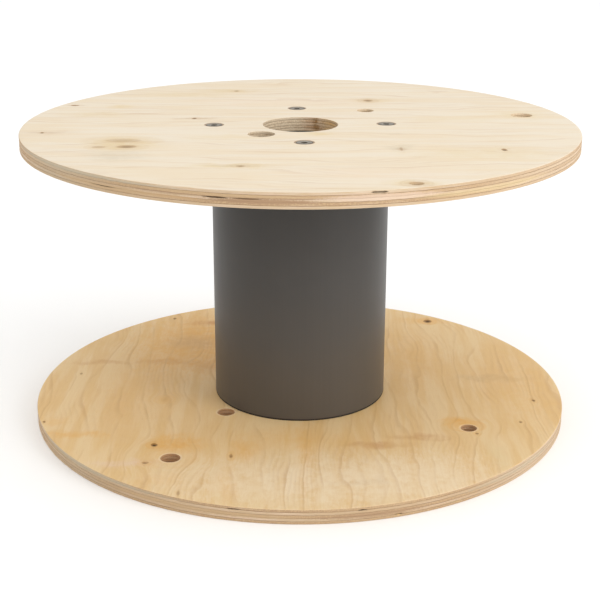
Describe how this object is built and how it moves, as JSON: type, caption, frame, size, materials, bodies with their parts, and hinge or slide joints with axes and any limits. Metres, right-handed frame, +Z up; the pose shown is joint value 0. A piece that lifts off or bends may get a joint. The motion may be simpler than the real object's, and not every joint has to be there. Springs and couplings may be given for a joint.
{
  "type": "cable drum",
  "caption": "Empty cable drum: two round plywood flanges screwed to a smooth dark grey tube, standing on its end.",
  "frame": {"origin": "centre of the bottom flange's underside, on the drum's axis", "axes": "+Z up along the drum's axis, towards the top flange; +X to the right and +Y away from a viewer who stands where the camera does"},
  "size_m": [0.4999, 0.5, 0.27],
  "materials": {
    "plywood_pale": "matte",
    "plywood_warm": "matte",
    "barrel_grey": "satin",
    "screw_zinc": "satin"
  },
  "bodies": {
    "root": {"flange_bottom": "plywood_warm", "flange_top": "plywood_pale", "barrel": "barrel_grey", "screw_top_1": "screw_zinc", "screw_top_2": "screw_zinc", "screw_top_3": "screw_zinc", "screw_top_4": "screw_zinc", "screw_bottom_1": "screw_zinc", "screw_bottom_2": "screw_zinc", "screw_bottom_3": "screw_zinc", "screw_bottom_4": "screw_zinc"}
  },
  "joints": []
}
